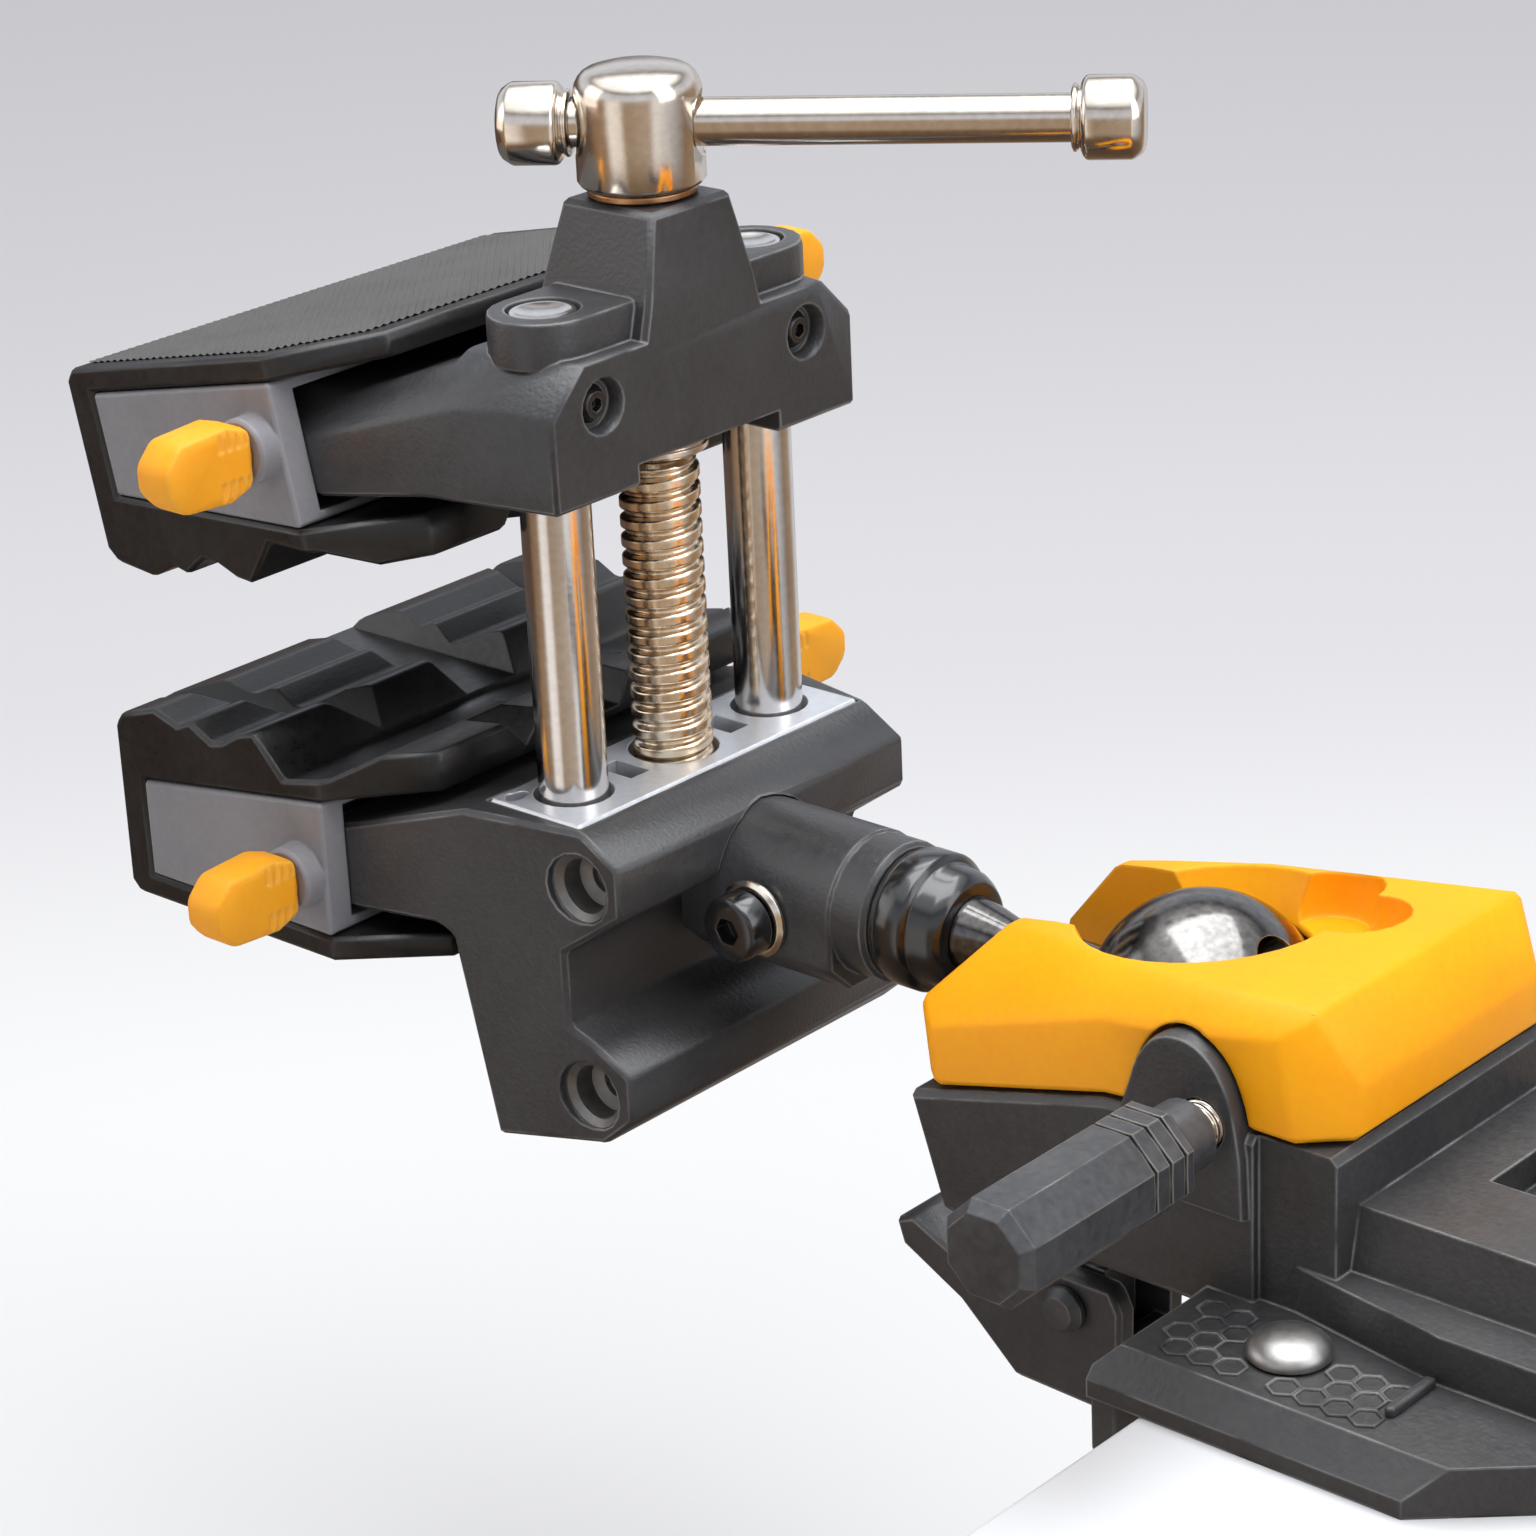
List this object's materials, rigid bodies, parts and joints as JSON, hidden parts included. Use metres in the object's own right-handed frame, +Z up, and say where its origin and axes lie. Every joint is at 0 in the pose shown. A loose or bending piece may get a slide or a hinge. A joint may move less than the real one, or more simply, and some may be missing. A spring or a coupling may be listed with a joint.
{
  "type": "articulating bench vise",
  "caption": "Clamp-on bench vise whose twin-rod head with tilting, two-faced jaws turns on a locking ball; a sliding T-bar drives the screw.",
  "frame": {"origin": "on the base's flat bench face, under the line of its two dome bolts", "axes": "+X over the bench away from the jaws, +Z up out of the bench, Y across the jaws"},
  "size_m": [0.3041, 0.1747, 0.214],
  "materials": {
    "base_dark": "fine textured dark grey",
    "cast_dark": "fine textured dark grey coating, worn lighter at the edges",
    "moulded_grey": "mid grey moulding",
    "pad_rubber": "matt black with a small diamond grip on the flat side",
    "knob_orange": "satin orange",
    "cap_yellow": "satin yellow-orange with soft facets",
    "nickel": "satin to polished, slightly warm",
    "rod_steel": "polished",
    "ball_steel": "dark polished",
    "plate_alloy": "satin",
    "black_oxide": "glossy black",
    "bronze": "plain"
  },
  "bodies": {
    "base": {"base_casting": "base_dark", "bench_lip": "base_dark", "ball_cap": "cap_yellow", "seat_ring": "bronze", "cross_bolt": "nickel", "cross_nut": "black_oxide", "dome_bolt_near": "nickel", "dome_bolt_far": "nickel", "lug_bar": "cast_dark", "lever_pin": "nickel"},
    "cup": {"ball_cup": "bronze"},
    "stud": {"ball_stud": "ball_steel", "stem_collar": "black_oxide"},
    "head": {"lower_body": "cast_dark", "guide_plate": "plate_alloy", "lead_nut": "bronze", "barrel": "cast_dark", "barrel_screw_ring": "nickel", "stem_washer": "pad_rubber"},
    "barrel_screw": {"barrel_screw": "black_oxide"},
    "slide": {"upper_body": "cast_dark", "guide_rod_near": "rod_steel", "guide_rod_far": "rod_steel", "rod_screw_near": "black_oxide", "rod_screw_far": "black_oxide"},
    "screw": {"lead_screw": "nickel", "screw_collar": "nickel", "thrust_washer": "bronze", "hub": "nickel"},
    "bar": {"t_bar": "nickel", "bar_cap_left": "nickel", "bar_cap_right": "nickel"},
    "upper_jaw": {"upper_carrier": "moulded_grey", "upper_pad": "pad_rubber"},
    "lower_jaw": {"lower_carrier": "moulded_grey", "lower_pad": "pad_rubber"},
    "upper_knob_near": {"upper_knob_near": "knob_orange"},
    "upper_knob_far": {"upper_knob_far": "knob_orange"},
    "lower_knob_near": {"lower_knob_near": "knob_orange"},
    "lower_knob_far": {"lower_knob_far": "knob_orange"},
    "grip": {"clamp_grip": "cast_dark"},
    "lever": {"cam_lever": "cast_dark"}
  },
  "joints": [
    {"name": "cup_yaw", "type": "hinge", "parent": "base", "child": "cup", "pos_m": [-0.046, 0, 0.036], "axis": [0, 0, 1], "range_deg": [-12, 12]},
    {"name": "ball_tilt", "type": "hinge", "parent": "cup", "child": "stud", "pos_m": [-0.046, 0, 0.036], "axis": [0, 1, 0], "range_deg": [0, 90]},
    {"name": "head_roll", "type": "hinge", "parent": "stud", "child": "head", "pos_m": [-0.116, 0, 0.036], "axis": [1, 0, 0], "continuous": true},
    {"name": "barrel_screw_turn", "type": "hinge", "parent": "head", "child": "barrel_screw", "pos_m": [-0.13, -0.013, 0.0338], "axis": [0, -1, 0], "continuous": true},
    {"name": "jaw_slide", "type": "slide", "parent": "head", "child": "slide", "axis": [0, 0, 1], "range_m": [-0.023, 0.033]},
    {"name": "screw_spin", "type": "hinge", "parent": "slide", "child": "screw", "pos_m": [-0.1595, 0, 0.0538], "axis": [0, 0, 1], "continuous": true},
    {"name": "bar_slide", "type": "slide", "parent": "screw", "child": "bar", "axis": [0.829, 0.5592, 0], "range_m": [-0.0595, 0]},
    {"name": "upper_jaw_tilt", "type": "hinge", "parent": "slide", "child": "upper_jaw", "pos_m": [-0.2015, 0, 0.1148], "axis": [0, 1, 0], "range_deg": [-6, 8]},
    {"name": "lower_jaw_tilt", "type": "hinge", "parent": "head", "child": "lower_jaw", "pos_m": [-0.2, 0, 0.0378], "axis": [0, 1, 0], "range_deg": [-9, 3]},
    {"name": "upper_knob_near_turn", "type": "hinge", "parent": "slide", "child": "upper_knob_near", "pos_m": [-0.2015, -0.06, 0.1148], "axis": [0, -1, 0], "continuous": true},
    {"name": "upper_knob_far_turn", "type": "hinge", "parent": "slide", "child": "upper_knob_far", "pos_m": [-0.2015, 0.073, 0.1148], "axis": [0, 1, 0], "continuous": true},
    {"name": "lower_knob_near_turn", "type": "hinge", "parent": "head", "child": "lower_knob_near", "pos_m": [-0.2, -0.06, 0.0378], "axis": [0, -1, 0], "continuous": true},
    {"name": "lower_knob_far_turn", "type": "hinge", "parent": "head", "child": "lower_knob_far", "pos_m": [-0.2, 0.073, 0.0378], "axis": [0, 1, 0], "continuous": true},
    {"name": "grip_turn", "type": "hinge", "parent": "base", "child": "grip", "pos_m": [-0.0215, -0.06, 0.0366], "axis": [0, -1, 0], "continuous": true},
    {"name": "lever_swing", "type": "hinge", "parent": "base", "child": "lever", "pos_m": [-0.068, 0, -0.022], "axis": [0, 1, 0], "range_deg": [-75, 10]}
  ],
  "couplings": [
    {"joint": "screw_spin", "follows": "jaw_slide", "rad_per_m": 1821.2}
  ]
}
